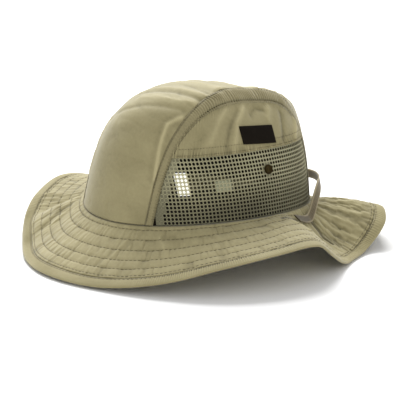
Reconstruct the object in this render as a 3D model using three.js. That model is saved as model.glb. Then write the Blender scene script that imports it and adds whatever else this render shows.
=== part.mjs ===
import * as THREE from "three";

// A cloth hiking hat with net sides, resting on its brim. Millimetres, +Z up, z = 0 is the surface it
// rests on. The hat faces -Y, and +X is the wearer's left. Angles run from the front (0) over the left
// side (90) to the back (180), and are negative on the right side where the two sides differ.

// Crown, measured on the outside
const crownLength = 200; // front to back at the brim seam
const crownWidth = 171; // side to side at the brim seam
const crownHeight = 100; // brim seam to the middle of the top
const topShift = 25.5; // the top's middle lies this far behind the seam's middle
const topBegins = 0.7; // share of the height where the upright sides start to turn into the top
const topFull = 0.95; // and from where it is all top
const crownSlant = 3.7; // the top is this much higher beside the left band and lower beside the right
const slantBegins = 0.4; // share of the height
const clothWall = 1.2;
const sewnGap = 0.3; // clearance between pieces that are sewn together

// Shape of the crown's upright sections: squareness is a superellipse power, lean the share that the
// section has drawn in at its top
const crownSections = [
  { angle: 0, squareness: 4.55, lean: 0 },
  { angle: 45, squareness: 3.0, lean: 0.04 },
  { angle: 90, squareness: 2.5, lean: 0.195 },
  { angle: 135, squareness: 3.35, lean: 0.295 },
  { angle: 180, squareness: 3.65, lean: 0.26 },
];

// Centre strip and its gathered seam bands
const centreWidth = 96; // between the edges of the two side panels
const bandWidthLow = 5; // where the bands meet the brim
const bandWidthTop = 14; // over the top, where the gathers spread
const bandSpread = 10; // power of the sine that widens the bands over the top
const bandProud = 0.6; // the bands stand out from the cloth beside them
const ruffleCount = 34; // gathers along one band
const ruffleDepth = 0.5;
const ridgeRise = 2.9; // the bands lift the top of the crown
const ridgeReach = 12; // how far each side of a band's middle this lift fades
const stripSag = 14; // how far the strip sinks between the bands behind the crown's middle
const sagReach = 30; // how far to each side this fades
const sagStart = -2; // measured backwards from the middle
const sagRun = 60; // from there to the full depth

// Net windows
const netHeight = 52;
const netWall = 1;
const netColumns = 11; // gaps along one window
const netRows = 5;
const netThread = 0.34; // share of a gap's pitch that is thread

// Folds in the cloth above the net, and wrinkles across the centre strip
const foldDepth = 1.8;
const foldFade = 8; // the folds die out over this distance from the seam bands
const foldSections = [
  { angle: 58, depth: -0.5, spread: 9 },
  { angle: 72, depth: 0.7, spread: 5 },
  { angle: 84, depth: -0.6, spread: 5 },
  { angle: 101, depth: 0.5, spread: 6 },
  { angle: 127, depth: 1.0, spread: 5 },
  { angle: 140, depth: -0.6, spread: 6 },
];
const wrinkleDepth = 0.7;
const wrinklePitch = 17;

// Brim
const brimWidth = 66.5; // brim seam to the hem's edge, along the cloth
const brimWall = 2.2;
const brimDrop = 38.5; // seam to the hem's edge where the brim hangs lowest
const brimHollow = 4; // how far a hollow section sinks below a straight line halfway out
const hemWidth = 10;
const hemWall = 2.8;
const pressedFlat = 4; // how far the lowest sections are pushed up by the surface
const seamTilt = 3.6; // the brim seam rises to the front and falls to the back
const seamSag = 3; // and rises to the sides

// Brim sections, right side for negative angles: drop is a share of brimDrop, chord the share of
// brimWidth that is left once the section has curved, and hollow a share of brimHollow, negative where
// the cloth bulges up
const brimSections = [
  { angle: -180, drop: 0.8, chord: 0.97, hollow: 0.5 },
  { angle: -150, drop: 0.85, chord: 0.97, hollow: 0.5 },
  { angle: -120, drop: 0.93, chord: 0.97, hollow: 0.5 },
  { angle: -95, drop: 0.48, chord: 0.975, hollow: 0.3 },
  { angle: -75, drop: 0.15, chord: 0.96, hollow: 0.2 },
  { angle: -60, drop: 0.36, chord: 0.965, hollow: 0.6 },
  { angle: -51, drop: 0.59, chord: 0.965, hollow: 1.5 },
  { angle: -42, drop: 0.83, chord: 0.97, hollow: -1.1 },
  { angle: -30, drop: 1.0, chord: 0.965, hollow: 0 },
  { angle: -14, drop: 0.97, chord: 0.975, hollow: 0.3 },
  { angle: 0, drop: 0.915, chord: 0.985, hollow: 0.3 },
  { angle: 22, drop: 0.915, chord: 0.98, hollow: 0.4 },
  { angle: 42, drop: 0.735, chord: 0.97, hollow: 0.5 },
  { angle: 60, drop: 0.435, chord: 0.97, hollow: 0.5 },
  { angle: 79, drop: 0.24, chord: 0.97, hollow: 0.3 },
  { angle: 92, drop: 0.245, chord: 0.955, hollow: -0.4 },
  { angle: 100, drop: 0.605, chord: 0.965, hollow: -1.2 },
  { angle: 108, drop: 0.865, chord: 0.965, hollow: 0.4 },
  { angle: 118, drop: 0.925, chord: 0.94, hollow: 2.0 },
  { angle: 128, drop: 0.76, chord: 0.945, hollow: 1.2 },
  { angle: 136, drop: 0.35, chord: 0.995, hollow: -0.2 },
  { angle: 144, drop: 0.16, chord: 0.957, hollow: -1.2 },
  { angle: 158, drop: 0.66, chord: 0.95, hollow: 0.2 },
  { angle: 180, drop: 0.8, chord: 0.97, hollow: 0.5 },
];

// Sweatband
const sweatbandHeight = 24;
const sweatbandBelow = 2; // how far it reaches below the brim seam
const sweatbandWall = 1;

// Back strap: lift is the share of the way up from lying on the brim, twist the share of the turn from
// lying flat to standing upright
const strapWidth = 7.5;
const strapWall = 1.2;
const strapStand = 8; // middle of the tape to the outside of the crown at the seam
const strapRise = 12; // highest point of the tape's middle above the brim seam
const strapSections = [
  { angle: 108, lift: 0, twist: 0 },
  { angle: 120, lift: 0, twist: 0 },
  { angle: 129, lift: 0.62, twist: 0.35 },
  { angle: 140, lift: 1, twist: 0.8 },
  { angle: 155, lift: 0.97, twist: 1 },
  { angle: 180, lift: 0.8, twist: 1 },
];

// Small pieces on the wearer's left; along is measured backwards from the middle, up from the seam
const label = { along: 10.9, up: 63, length: 34.5, height: 12.5, wall: 0.8, tilt: -4.2 };
const careTag = { along: -60.2, up: 32, length: 8.4, height: 18, wall: 0.8, tilt: 0 };
const sizeTag = { along: -30.6, up: 28.3, length: 13, height: 9, wall: 0.8, tilt: 0 };
const snap = { along: 11.9, up: 37, diameter: 8, wall: 1.8, rim: 0.5 };

// Steps of the faceted surfaces
const centreSteps = 44;
const centreColumns = 8;
const sideSteps = 26;
const sideRows = 4;
const brimSteps = 88;
const sweatbandSteps = 48;
const strapSteps = 44;
const snapSides = 16;

// Worked out from the sizes above
const halfLength = crownLength / 2;
const halfWidth = crownWidth / 2;
const halfCentre = centreWidth / 2;
const seamHeight = brimDrop + hemWall - pressedFlat;
const panelWidth = brimWidth - hemWidth;
const radians = THREE.MathUtils.degToRad;
const mix = THREE.MathUtils.lerp;

// A smooth curve through one column of a table, level at its first and last rows
function column(rows, key, angle) {
  const last = rows.length - 1;
  const at = THREE.MathUtils.clamp(angle, rows[0].angle, rows[last].angle);
  let i = 0;
  while (i < last - 1 && at > rows[i + 1].angle) {
    i += 1;
  }
  const slope = (k) => {
    if (k === 0 || k === last) {
      return 0;
    }
    return (rows[k + 1][key] - rows[k - 1][key]) / (rows[k + 1].angle - rows[k - 1].angle);
  };
  const span = rows[i + 1].angle - rows[i].angle;
  const u = (at - rows[i].angle) / span;
  const rise = u * u * (3 - 2 * u);
  const ends = mix(rows[i][key], rows[i + 1][key], rise);
  const bend = slope(i) * u * (1 - u) * (1 - u) - slope(i + 1) * u * u * (1 - u);
  return ends + bend * span;
}

function bisect(low, high, isInside) {
  let inside = low;
  let outside = high;
  for (let i = 0; i < 40; i += 1) {
    const middle = (inside + outside) / 2;
    if (isInside(middle)) {
      inside = middle;
    } else {
      outside = middle;
    }
  }
  return inside;
}

const bump = (distance, spread) => Math.exp(-((distance / spread) ** 2));

// The crown's surface, before its folds, with z measured from the brim seam. inset shrinks it evenly,
// which gives a wall's two faces.

function sectionRadius(angle, up) {
  const power = column(crownSections, "squareness", angle);
  const lean = column(crownSections, "lean", angle);
  return (1 - Math.min(up, 1) ** power) ** (1 / power) * (1 - lean * up);
}

function insideCrown(x, y, z, inset) {
  const up = Math.max(z, 0) / (crownHeight - inset);
  const across = x / (halfWidth - inset);
  const along = (y - topShift * up) / (halfLength - inset);
  const angle = THREE.MathUtils.radToDeg(Math.atan2(Math.abs(across), -along));
  return up < 1 && Math.hypot(across, along) < sectionRadius(angle, up);
}

// On the left side: straight out from the middle plane at a place given along the side and up it
function sidePoint(y, z, inset) {
  const x = bisect(0, crownWidth, (reach) => insideCrown(reach, y, z, inset));
  return new THREE.Vector3(x, y, z);
}

// In the upright plane at x: sweep 0 is the front, 90 straight up and 180 the back
function sweepPoint(x, sweep, inset) {
  const ahead = -Math.cos(radians(sweep));
  const above = Math.sin(radians(sweep));
  const middle = topShift / 2;
  const isInside = (reach) => insideCrown(x, middle + reach * ahead, reach * above, inset);
  const reach = bisect(0, crownLength, isInside);
  return new THREE.Vector3(x, middle + reach * ahead, reach * above);
}

// Round the crown at one height: angle as in the tables, right side for negative ones
function ringPoint(angle, z, inset) {
  const turn = radians(angle);
  const isInside = (reach) => {
    return insideCrown(reach * Math.sin(turn), topShift / 2 - reach * Math.cos(turn), z, inset);
  };
  const reach = bisect(0, crownLength, isInside);
  return new THREE.Vector3(reach * Math.sin(turn), topShift / 2 - reach * Math.cos(turn), z);
}

function seamWave(angle) {
  return seamTilt * Math.cos(radians(angle)) - seamSag * Math.cos(radians(2 * angle));
}

function angleOf(point) {
  return THREE.MathUtils.radToDeg(Math.atan2(Math.abs(point.x) / halfWidth, -point.y / halfLength));
}

// Folds, wrinkles, the top's slant, the lift at the bands, the sag between them and the wave of the brim
// seam. Every piece of the crown goes through this one field, so that pieces keep their gaps. A piece of
// the right side, side -1, is made as a left one and mirrored afterwards.
function settle(point, side = 1) {
  const up = THREE.MathUtils.clamp(point.z / crownHeight, 0, 1);
  const angle = angleOf(point);
  const aboveNet = THREE.MathUtils.smoothstep(point.z, netHeight - 14, netHeight + 8);
  const underTop = 1 - THREE.MathUtils.smoothstep(up, 0.78, 0.95);
  let fold = 0;
  for (const row of foldSections) {
    fold += row.depth * bump(angle - row.angle, row.spread);
  }
  const besideSeam = THREE.MathUtils.smoothstep(Math.abs(point.x), halfCentre, halfCentre + foldFade);
  fold *= foldDepth * aboveNet * underTop * besideSeam;
  const outward = new THREE.Vector2(point.x / halfWidth, point.y / halfLength).normalize();
  const overTop = THREE.MathUtils.smoothstep(up, topBegins, topFull);
  const slanted = THREE.MathUtils.smoothstep(up, slantBegins, 1);
  const slant = (crownSlant * side * slanted * point.x) / halfCentre;
  const besideBand = Math.abs(point.x) - (halfCentre - bandWidthTop / 2);
  const ridge = ridgeRise * bump(besideBand, ridgeReach) * overTop;
  const sunk = THREE.MathUtils.smoothstep(point.y, sagStart, sagStart + sagRun);
  const sag = stripSag * bump(point.x, sagReach) * sunk * overTop;
  const inStrip = bump(point.x, halfCentre);
  const wrinkle = wrinkleDepth * Math.cos((2 * Math.PI * point.y) / wrinklePitch) * overTop * inStrip;
  const seam = seamHeight + seamWave(angle) * (1 - up);
  return new THREE.Vector3(
    point.x + fold * outward.x,
    point.y + fold * outward.y,
    point.z + ridge - sag + slant + wrinkle + seam,
  );
}

// One closed body between two grids of points, with the cells that isCut names left open
function shell(outer, inner, { ring = false, isCut = () => false } = {}) {
  const rows = outer.length;
  const columns = outer[0].length;
  const cellRows = ring ? rows : rows - 1;
  const positions = [];
  for (const point of [...outer.flat(), ...inner.flat()]) {
    positions.push(point.x, point.y, point.z);
  }
  const outerAt = (i, j) => (i % rows) * columns + j;
  const innerAt = (i, j) => rows * columns + outerAt(i, j);
  const isOpen = (i, j) => {
    if (j < 0 || j >= columns - 1) {
      return true;
    }
    if (!ring && (i < 0 || i >= cellRows)) {
      return true;
    }
    return isCut((i + rows) % rows, j);
  };
  const faces = [];
  const quad = (a, b, c, d) => faces.push(a, b, c, a, c, d);
  for (let i = 0; i < cellRows; i += 1) {
    for (let j = 0; j < columns - 1; j += 1) {
      if (isOpen(i, j)) {
        continue;
      }
      quad(outerAt(i, j), outerAt(i + 1, j), outerAt(i + 1, j + 1), outerAt(i, j + 1));
      quad(innerAt(i, j), innerAt(i, j + 1), innerAt(i + 1, j + 1), innerAt(i + 1, j));
      if (isOpen(i, j - 1)) {
        quad(outerAt(i, j), innerAt(i, j), innerAt(i + 1, j), outerAt(i + 1, j));
      }
      if (isOpen(i, j + 1)) {
        quad(outerAt(i + 1, j + 1), innerAt(i + 1, j + 1), innerAt(i, j + 1), outerAt(i, j + 1));
      }
      if (isOpen(i - 1, j)) {
        quad(outerAt(i, j + 1), innerAt(i, j + 1), innerAt(i, j), outerAt(i, j));
      }
      if (isOpen(i + 1, j)) {
        quad(outerAt(i + 1, j), innerAt(i + 1, j), innerAt(i + 1, j + 1), outerAt(i + 1, j + 1));
      }
    }
  }
  const geometry = new THREE.BufferGeometry();
  geometry.setAttribute("position", new THREE.Float32BufferAttribute(positions, 3));
  geometry.setIndex(volumeOf(positions, faces) < 0 ? faces.reverse() : faces);
  return geometry;
}

function volumeOf(positions, faces) {
  const corner = (k) => new THREE.Vector3().fromArray(positions, 3 * faces[k]);
  let volume = 0;
  for (let k = 0; k < faces.length; k += 3) {
    volume += corner(k).dot(corner(k + 1).cross(corner(k + 2))) / 6;
  }
  return volume;
}

function grid(rows, columns, pointAt) {
  const points = [];
  for (let i = 0; i <= rows; i += 1) {
    const row = [];
    for (let j = 0; j <= columns; j += 1) {
      row.push(pointAt(i / rows, j / columns, i, j));
    }
    points.push(row);
  }
  return points;
}

function mirrored(geometry) {
  const copy = geometry.clone();
  copy.scale(-1, 1, 1);
  copy.setIndex([...copy.index.array].reverse());
  return copy;
}

// Crown pieces

const lowSweep = THREE.MathUtils.radToDeg(sewnGap / halfLength);
const sweepAt = (share) => mix(lowSweep, 180 - lowSweep, share);

function bandWidth(sweep) {
  return mix(bandWidthLow, bandWidthTop, Math.sin(radians(sweep)) ** bandSpread);
}

function crownPanel() {
  const face = (inset) => {
    return grid(centreSteps, centreColumns, (s, q) => {
      const sweep = sweepAt(s);
      const half = halfCentre - bandWidth(sweep) - sewnGap;
      return settle(sweepPoint(mix(-half, half, q), sweep, inset));
    });
  };
  return shell(face(0), face(clothWall));
}

function seamBand(side) {
  const face = (inset) => {
    return grid(2 * ruffleCount, 2, (s, q, i) => {
      const sweep = sweepAt(s);
      const x = mix(halfCentre - bandWidth(sweep), halfCentre - sewnGap, q);
      const ruffle = (i % 2) * ruffleDepth;
      return settle(sweepPoint(x, sweep, inset - bandProud + ruffle), side);
    });
  };
  return shell(face(0), face(clothWall));
}

// Angle at which the edge of the net or side panel stands at one height
function edgeAngle(z, inset, isFront) {
  const beyond = (angle) => ringPoint(angle, z, inset).x > halfCentre;
  return isFront ? bisect(90, 0, beyond) : bisect(90, 180, beyond);
}

// Height of the side panel's edge at one angle round the crown
function edgeHeight(angle, inset) {
  return bisect(0, crownHeight, (z) => ringPoint(angle, z, inset).x > halfCentre);
}

function sidePanel(side) {
  const corner = netHeight + 3;
  const front = edgeAngle(corner, clothWall, true);
  const back = edgeAngle(corner, clothWall, false);
  const face = (inset) => {
    return grid(sideSteps, sideRows, (s, q) => {
      const angle = mix(front, back, s);
      const low = netHeight + sewnGap / 2;
      const height = mix(low, edgeHeight(angle, inset), 1 - (1 - q) ** 1.3);
      return settle(ringPoint(angle, height, inset), side);
    });
  };
  return shell(face(0), face(clothWall));
}

// Lines between threads and gaps: 0, thread, gap, thread ... 1
function netLine(index, gaps) {
  const pitch = 1 / (gaps + netThread);
  return pitch * (Math.floor(index / 2) + (index % 2) * netThread);
}

function netWindow(side) {
  const low = sewnGap;
  const high = netHeight - sewnGap / 2;
  const columns = 2 * netColumns + 1;
  const rows = 2 * netRows + 1;
  const heightAt = (j) => mix(low, high, netLine(j, netRows));
  const face = (inset) => {
    return grid(columns, rows, (s, q, i, j) => {
      const z = heightAt(j);
      const front = edgeAngle(z, inset, true);
      const back = edgeAngle(z, inset, false);
      return settle(ringPoint(mix(front, back, netLine(i, netColumns)), z, inset), side);
    });
  };
  const outside = face((clothWall - netWall) / 2);
  // The gap behind the snap stays closed, as its seat
  const isSeat = (i, j) => {
    const a = outside[i][j];
    const b = outside[i + 1][j + 1];
    const up = snap.up + seamHeight + seamWave(90) * (1 - snap.up / crownHeight);
    const reach = snap.diameter / 2;
    const besideY = a.y > snap.along + reach || b.y < snap.along - reach;
    return !besideY && a.z < up + reach && b.z > up - reach;
  };
  const isCut = (i, j) => i % 2 === 1 && j % 2 === 1 && !isSeat(i, j);
  return shell(outside, face((clothWall + netWall) / 2), { isCut });
}

function sweatband() {
  const heights = [-sweatbandBelow, 0, sweatbandHeight - sweatbandBelow];
  const face = (inset) => {
    return grid(sweatbandSteps - 1, heights.length - 1, (s, q, i, j) => {
      const point = ringPoint((360 * i) / sweatbandSteps, Math.max(heights[j], 0), inset);
      point.z = heights[j];
      return settleLow(point);
    });
  };
  const outside = clothWall + sewnGap;
  return shell(face(outside), face(outside + sweatbandWall), { ring: true });
}

// Only the seam's wave, for what lies inside the folds' reach or below the seam
function settleLow(point) {
  const up = THREE.MathUtils.clamp(point.z / crownHeight, 0, 1);
  const lift = seamHeight + seamWave(angleOf(point)) * (1 - up);
  return new THREE.Vector3(point.x, point.y, point.z + lift);
}

// A rectangular patch that follows the side of the crown
function patch(spec, inset) {
  const tilt = radians(spec.tilt);
  const face = (depth) => {
    return grid(6, 3, (s, q) => {
      const along = (s - 0.5) * spec.length;
      const up = (q - 0.5) * spec.height;
      const y = spec.along + along * Math.cos(tilt) - up * Math.sin(tilt);
      const z = spec.up + along * Math.sin(tilt) + up * Math.cos(tilt);
      return settle(sidePoint(y, z, depth));
    });
  };
  return shell(face(inset), face(inset + spec.wall));
}

function snapDisc(side) {
  const seat = (clothWall - netWall) / 2 - sewnGap;
  const middle = sidePoint(snap.along, snap.up, 0);
  const ahead = sidePoint(snap.along - 1, snap.up, 0);
  const above = sidePoint(snap.along, snap.up + 1, 0);
  const normal = above.sub(middle).cross(ahead.sub(middle)).normalize();
  const radius = snap.diameter / 2;
  // The seat is curved, so the disc's flat back stands off by the curve's height over its radius
  const clear = (radius * radius) / crownWidth - seat;
  const profile = [
    new THREE.Vector2(0, 0),
    new THREE.Vector2(radius, 0),
    new THREE.Vector2(radius, snap.wall - snap.rim),
    new THREE.Vector2(radius - snap.rim, snap.wall),
    new THREE.Vector2(radius - 3 * snap.rim, snap.wall - snap.rim),
    new THREE.Vector2(0, snap.wall - snap.rim),
  ];
  const geometry = new THREE.LatheGeometry(profile, snapSides);
  const turn = new THREE.Quaternion().setFromUnitVectors(new THREE.Vector3(0, 1, 0), normal);
  geometry.applyQuaternion(turn);
  const place = settle(middle, side).addScaledVector(normal, clear);
  geometry.translate(place.x, place.y, place.z);
  return geometry;
}

// Brim

function seamPoint(angle) {
  const turn = radians(angle);
  return new THREE.Vector2(halfWidth * Math.sin(turn), -halfLength * Math.cos(turn));
}

function seamNormal(angle) {
  const turn = radians(angle);
  return new THREE.Vector2(Math.sin(turn) / halfWidth, -Math.cos(turn) / halfLength).normalize();
}

function brimFall(angle) {
  return brimDrop * column(brimSections, "drop", angle);
}

function brimReach(angle) {
  const chord = brimWidth * column(brimSections, "chord", angle);
  return Math.sqrt(chord ** 2 - brimFall(angle) ** 2);
}

// Top face of the brim, at a distance from the seam along the cloth, before it is flattened
function brimPoint(angle, distance) {
  const share = Math.max(distance, 0) / brimWidth;
  const out = distance > 0 ? brimReach(angle) * share : distance;
  const place = seamPoint(angle).addScaledVector(seamNormal(angle), out);
  const hollow = brimHollow * column(brimSections, "hollow", angle) * 4 * share * (1 - share);
  const fall = brimFall(angle) * share + hollow;
  return new THREE.Vector3(place.x, place.y, seamHeight + seamWave(angle) - fall);
}

// The surface below flattens the cloth where it rests
function flattened(point, rise) {
  return new THREE.Vector3(point.x, point.y, Math.max(point.z, 0) + rise);
}

function brimRing(lines, wall) {
  const face = (rise) => {
    return grid(brimSteps - 1, lines.length - 1, (s, q, i, j) => {
      const turn = (360 * i) / brimSteps;
      const angle = turn > 180 ? turn - 360 : turn;
      const point = brimPoint(angle, lines[j]);
      point.z -= wall;
      return flattened(point, rise);
    });
  };
  return shell(face(wall), face(0), { ring: true });
}

function brim() {
  const end = panelWidth - sewnGap;
  const lines = [-clothWall];
  for (const share of [0, 0.16, 0.4, 0.7, 1]) {
    lines.push(share * end);
  }
  return brimRing(lines, brimWall);
}

function brimHem() {
  return brimRing([panelWidth, panelWidth + hemWidth / 2, brimWidth], hemWall);
}

// Back strap, from its left end round the back to its right end

function strapStation(turn) {
  const angle = turn <= 180 ? turn : turn - 360;
  const lift = Math.max(0, column(strapSections, "lift", Math.abs(angle)));
  const upright = Math.max(0, column(strapSections, "twist", Math.abs(angle)));
  const along = brimWidth / brimReach(angle);
  const near = brimPoint(angle, (strapStand - strapWidth / 3) * along);
  const far = brimPoint(angle, (strapStand + strapWidth / 3) * along);
  const slope = Math.atan2(near.z - far.z, Math.hypot(near.x - far.x, near.y - far.y));
  const seated = (near.z + far.z) / 2 + (sewnGap + strapWall / 2) / Math.cos(slope);
  const normal = seamNormal(angle);
  const place = seamPoint(angle).addScaledVector(normal, strapStand);
  const middle = new THREE.Vector3(place.x, place.y, mix(seated, seamHeight + strapRise, lift));
  return { middle, normal, twist: mix(slope, Math.PI / 2, upright) };
}

function backStrap() {
  const root = strapSections[0].angle;
  const face = (side) => {
    return grid(strapSteps, 1, (s, q) => {
      const { middle, normal, twist } = strapStation(mix(root, 360 - root, s));
      const half = (q - 0.5) * strapWidth;
      const deep = (side * strapWall) / 2;
      const out = half * Math.cos(twist) + deep * Math.sin(twist);
      const up = deep * Math.cos(twist) - half * Math.sin(twist);
      return new THREE.Vector3(middle.x + normal.x * out, middle.y + normal.y * out, middle.z + up);
    });
  };
  return shell(face(1), face(-1));
}

// Colours and finishes

function cloth(color, roughness) {
  return new THREE.MeshStandardMaterial({ color, roughness, metalness: 0 });
}

const tan = cloth(0xa9a17c, 0.75);
const tanSide = cloth(0xa39b75, 0.75);
const tanBand = cloth(0x8f8762, 0.8);
const tanBrim = cloth(0xb5ad88, 0.78);
const tanHem = cloth(0xada57c, 0.8);
const netThreads = cloth(0x9c9670, 0.7);
const darkBand = cloth(0x2a241b, 0.9);
const blackWeave = cloth(0x14120f, 0.85);
const tape = cloth(0xbfb28c, 0.8);
const whiteTag = cloth(0xf0eee6, 0.7);
const greyTag = cloth(0x9aa080, 0.75);
const darkMetal = new THREE.MeshStandardMaterial({ color: 0x33280f, roughness: 0.4, metalness: 0.6 });

const hat = new THREE.Group();

function add(name, geometry, material) {
  const mesh = new THREE.Mesh(geometry, material);
  mesh.name = name;
  hat.add(mesh);
}

function addPair(name, make, material) {
  add(`${name}_left`, make(1), material);
  add(`${name}_right`, mirrored(make(-1)), material);
}

const underNet = (clothWall + netWall) / 2 + sewnGap;

add("crown_panel", crownPanel(), tan);
addPair("seam_band", seamBand, tanBand);
addPair("side_panel", sidePanel, tanSide);
addPair("net", netWindow, netThreads);
addPair("snap", snapDisc, darkMetal);
add("brim", brim(), tanBrim);
add("brim_hem", brimHem(), tanHem);
add("sweatband", sweatband(), darkBand);
add("back_strap", backStrap(), tape);
add("label", patch(label, -sewnGap - label.wall), blackWeave);
add("care_tag", patch(careTag, underNet), whiteTag);
add("size_tag", patch(sizeTag, underNet), greyTag);

// The origin is the middle of the hat's outline on the surface it rests on
const outline = new THREE.Box3().setFromObject(hat);
const centre = outline.getCenter(new THREE.Vector3());
hat.position.set(-centre.x, -centre.y, 0);

export default hat;
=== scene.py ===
"""The looks of a cloth hiking hat with net sides. Shapes are worked out in millimetres from the sizes
of the solids that they stand for, and placed in the frame in metres. The hat faces -Y, +X is the
wearer's left, and angles run from the front (0) over the side (90) to the back (180)."""

import math

import bpy
import numpy as np
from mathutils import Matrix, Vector


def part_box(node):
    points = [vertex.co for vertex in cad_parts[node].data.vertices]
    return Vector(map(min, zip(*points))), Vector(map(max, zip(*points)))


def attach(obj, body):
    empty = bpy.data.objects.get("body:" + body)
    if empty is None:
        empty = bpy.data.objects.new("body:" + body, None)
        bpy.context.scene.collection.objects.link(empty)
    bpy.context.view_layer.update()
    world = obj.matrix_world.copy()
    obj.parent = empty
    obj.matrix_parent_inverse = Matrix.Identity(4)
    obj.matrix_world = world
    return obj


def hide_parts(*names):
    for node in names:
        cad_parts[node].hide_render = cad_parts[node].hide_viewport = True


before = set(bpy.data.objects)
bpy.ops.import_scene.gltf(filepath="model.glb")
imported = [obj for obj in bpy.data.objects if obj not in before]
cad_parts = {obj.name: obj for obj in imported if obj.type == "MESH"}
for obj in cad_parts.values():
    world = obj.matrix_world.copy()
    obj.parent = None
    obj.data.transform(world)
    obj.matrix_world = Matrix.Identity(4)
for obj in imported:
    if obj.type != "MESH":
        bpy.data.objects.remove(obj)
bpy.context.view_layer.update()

MM = 0.001


def table(names, *rows):
    """A table with named columns, from its rows."""
    return dict(zip(names, zip(*rows)))


# Crown, as in the solids
CROWN_LENGTH = 200
CROWN_WIDTH = 171
CROWN_HEIGHT = 100
TOP_SHIFT = 25.5
TOP_BEGINS = 0.7
TOP_FULL = 0.95
CROWN_SLANT = 3.7
SLANT_BEGINS = 0.4
CLOTH_WALL = 1.2
SEWN_GAP = 0.3
HALF_LENGTH = CROWN_LENGTH / 2
HALF_WIDTH = CROWN_WIDTH / 2
CROWN_SECTIONS = table(
    ("angle", "squareness", "lean"),
    (0, 4.55, 0),
    (45, 3.0, 0.04),
    (90, 2.5, 0.195),
    (135, 3.35, 0.295),
    (180, 3.65, 0.26),
)
HALF_CENTRE = 48
BAND_LOW = 5
BAND_TOP = 14
BAND_SPREAD = 10
BAND_PROUD = 0.6
BAND_LAP = 0.8
BAND_TUCK = 0.8
RIDGE_RISE = 2.9
RIDGE_REACH = 12
STRIP_SAG = 14
SAG_REACH = 30
SAG_START = -2
SAG_RUN = 60
NET_HEIGHT = 52
NET_WALL = 1
SEAM_TILT = 3.6
SEAM_SAG = 3

# Brim, as in the solids: negative angles are the right side
BRIM_WIDTH = 66.5
BRIM_WALL = 2.2
BRIM_DROP = 38.5
BRIM_HOLLOW = 4
HEM_WIDTH = 10
HEM_WALL = 2.8
PRESSED_FLAT = 4
PRESS_BEND = 1.5
PANEL_WIDTH = BRIM_WIDTH - HEM_WIDTH
SEAM_HEIGHT = BRIM_DROP + HEM_WALL - PRESSED_FLAT
BRIM_SECTIONS = table(
    ("angle", "drop", "chord", "hollow"),
    (-180, 0.8, 0.97, 0.5),
    (-150, 0.85, 0.97, 0.5),
    (-120, 0.93, 0.97, 0.5),
    (-95, 0.48, 0.975, 0.3),
    (-75, 0.15, 0.96, 0.2),
    (-60, 0.36, 0.965, 0.6),
    (-51, 0.59, 0.965, 1.5),
    (-42, 0.83, 0.97, -1.1),
    (-30, 1.0, 0.965, 0),
    (-14, 0.97, 0.975, 0.3),
    (0, 0.915, 0.985, 0.3),
    (22, 0.915, 0.98, 0.4),
    (42, 0.735, 0.97, 0.5),
    (60, 0.435, 0.97, 0.5),
    (79, 0.24, 0.97, 0.3),
    (92, 0.245, 0.955, -0.4),
    (100, 0.605, 0.965, -1.2),
    (108, 0.865, 0.965, 0.4),
    (118, 0.925, 0.94, 2.0),
    (128, 0.76, 0.945, 1.2),
    (136, 0.35, 0.995, -0.2),
    (144, 0.16, 0.957, -1.2),
    (158, 0.66, 0.95, 0.2),
    (180, 0.8, 0.97, 0.5),
)

# How far the brim's cloth is gathered round the hat
BRIM_PUCKERS = table(
    ("angle", "strength"),
    (-180, 0.6),
    (-130, 0.5),
    (-75, 0.6),
    (-50, 0.65),
    (-25, 0.35),
    (20, 0.3),
    (60, 0.3),
    (92, 0.4),
    (108, 0.6),
    (122, 1.0),
    (150, 1.0),
    (180, 0.6),
)

# Sweatband, strap and small pieces, as in the solids
SWEATBAND_HEIGHT = 24
SWEATBAND_BELOW = 2
SWEATBAND_WALL = 1
SWEATBAND_LOOSE = 5
STRAP_WIDTH = 7.5
STRAP_WALL = 1.2
STRAP_STAND = 8
STRAP_RISE = 12
STRAP_SECTIONS = table(
    ("angle", "lift", "twist"),
    (108, 0, 0),
    (120, 0, 0),
    (129, 0.62, 0.35),
    (140, 1, 0.8),
    (155, 0.97, 1),
    (180, 0.8, 1),
)
LABEL = {"along": 10.9, "up": 63, "length": 34.5, "height": 12.5, "wall": 0.8, "tilt": -4.2}
CARE_TAG = {"along": -60.2, "up": 32, "length": 8.4, "height": 18, "wall": 0.8, "tilt": 0}
SIZE_TAG = {"along": -30.6, "up": 28.3, "length": 13, "height": 9, "wall": 0.8, "tilt": 0}
SNAP = {"along": 11.9, "up": 37, "diameter": 8, "wall": 1.8}

# The camera stands as the photograph's did. Its target is the middle of the brim seam, and the aim
# is the target's offset from the middle of the image, to the right and up.
CAMERA_AZIMUTH = 52
CAMERA_ELEVATION = 15.5
CAMERA_DISTANCE = 1400
CAMERA_LENS = 150
CAMERA_AIM = (2.0, -1.7)

# Ornament of the cloth: lengths in millimetres
BRIM_ROWS = (4.5, 14.5, 25.5, 36, 45.5)
HEM_ROWS = (53.6, 57.6)
BAND_ROWS = (0.12, 0.86)  # shares of the band's width
NET_TOP_ROWS = (1.6, 6.2)  # above the net
RUFFLE_PITCH = 2.2
HEM_RUFFLE = 4.5
STITCH_PROUD = 0.1

# Rows and columns of the pieces' grids
PANEL_GRID = (250, 96)
BAND_GRID = (900, 15)
SIDE_GRID = (210, 52)
HEM_GRID = (2200, 16)
SWEATBAND_GRID = (240, 14)
STRAP_GRID = (420, 15)
PATCH_GRID = (48, 26)
BRIM_STEPS = 1300
NOISE_CELLS = 512
HALVINGS = 26  # of the search for the crown's surface


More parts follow.
